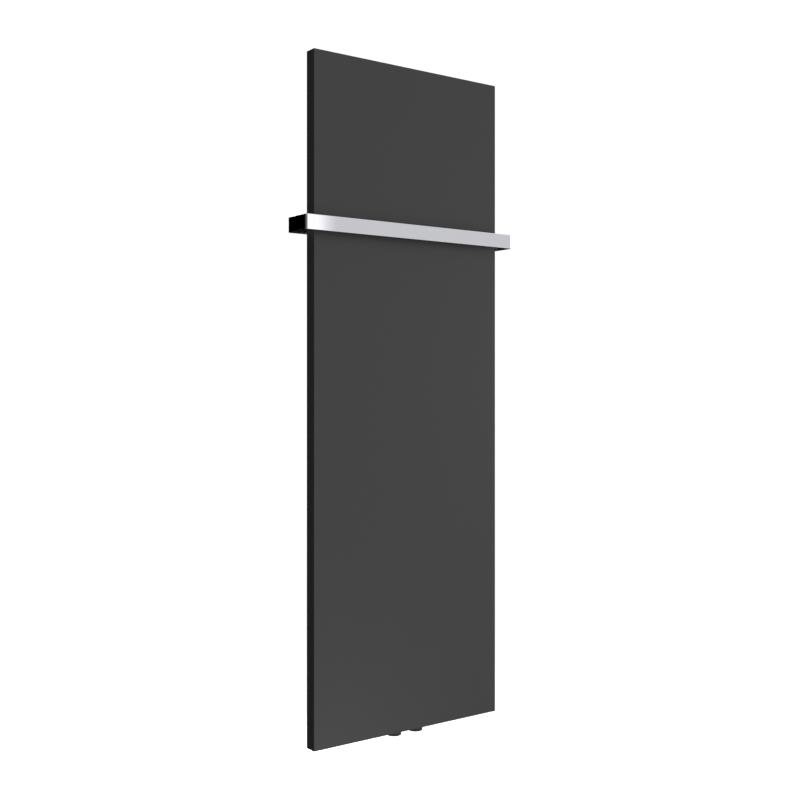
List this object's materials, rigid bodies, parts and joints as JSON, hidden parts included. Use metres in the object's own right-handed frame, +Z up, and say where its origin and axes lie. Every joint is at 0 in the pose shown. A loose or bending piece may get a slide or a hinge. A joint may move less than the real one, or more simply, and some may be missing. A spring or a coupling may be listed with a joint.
{
  "type": "flat-panel towel radiator",
  "caption": "Tall flat-panel wall radiator with a chrome flat-bar towel rail bent round its sides, centre connection sockets below, an air vent and telescopic wall standoffs.",
  "frame": {"origin": "on the wall plane, at the centre of the rectangle of wall fixing holes", "axes": "+Z up along the panel's height, +X to the right seen from the room, +Y towards the wall; the panel faces -Y"},
  "size_m": [0.481, 0.0815, 1.2573],
  "materials": {
    "anthracite_coat": "matt anthracite powder coat with a very fine texture",
    "chrome": "polished chrome plate",
    "bare_steel": "bare cold-rolled steel",
    "black_rubber": "matt",
    "stainless_steel": "turned stainless steel",
    "nickelled_brass": "nickel-plated brass",
    "brass": "turned brass",
    "white_plastic": "moulded, satin",
    "zinc_steel": "bright zinc-plated steel",
    "satin_nickel": "satin nickel-plated steel",
    "black_steel": "black oxide"
  },
  "bodies": {
    "wall_fixings": {"wall_sleeve_upper_left": "satin_nickel", "wall_sleeve_upper_right": "satin_nickel", "wall_sleeve_lower_left": "satin_nickel", "wall_sleeve_lower_right": "satin_nickel", "grub_screw_upper_left": "black_steel", "grub_screw_upper_right": "black_steel", "grub_screw_lower_left": "black_steel", "grub_screw_lower_right": "black_steel"},
    "hanger_pins": {"hanger_pin_upper_left": "zinc_steel", "hanger_pin_upper_right": "zinc_steel", "hanger_pin_lower_left": "zinc_steel", "hanger_pin_lower_right": "zinc_steel"},
    "radiator": {"front_panel": "anthracite_coat", "top_header": "anthracite_coat", "bottom_header": "anthracite_coat", "header_end_caps": "anthracite_coat", "flow_divider": "bare_steel", "supply_socket": "anthracite_coat", "return_socket": "anthracite_coat", "towel_rail": "chrome", "rail_posts": "anthracite_coat", "rail_pads": "black_rubber", "rail_washers": "stainless_steel", "rail_screws": "stainless_steel", "vent_boss": "anthracite_coat", "vent_seal": "black_rubber", "vent_body": "nickelled_brass", "riser_tube_1": "anthracite_coat", "riser_tube_2": "anthracite_coat", "riser_tube_3": "anthracite_coat", "riser_tube_4": "anthracite_coat", "riser_tube_5": "anthracite_coat", "riser_tube_6": "anthracite_coat", "riser_tube_7": "anthracite_coat", "riser_tube_8": "anthracite_coat", "hanger_plate_upper_left": "anthracite_coat", "hanger_plate_upper_right": "anthracite_coat", "hanger_plate_lower_left": "anthracite_coat", "hanger_plate_lower_right": "anthracite_coat"},
    "bleed_needle": {"vent_needle": "brass"},
    "bleed_nozzle": {"vent_nozzle": "white_plastic"}
  },
  "joints": [
    {"name": "wall_distance_slide", "type": "slide", "parent": "wall_fixings", "child": "hanger_pins", "axis": [0, -1, 0], "range_m": [0, 0.008]},
    {"name": "lift_off_slide", "type": "slide", "parent": "hanger_pins", "child": "radiator", "axis": [0, 0, 1], "range_m": [0, 0.014]},
    {"name": "bleed_needle_turn", "type": "hinge", "parent": "radiator", "child": "bleed_needle", "pos_m": [0.175, -0.022, 0.61], "axis": [0, 0, 1], "range_deg": [0, 360]},
    {"name": "bleed_nozzle_swivel", "type": "hinge", "parent": "radiator", "child": "bleed_nozzle", "pos_m": [0.175, -0.022, 0.61], "axis": [0, 0, 1], "range_deg": [-20, 200]}
  ]
}
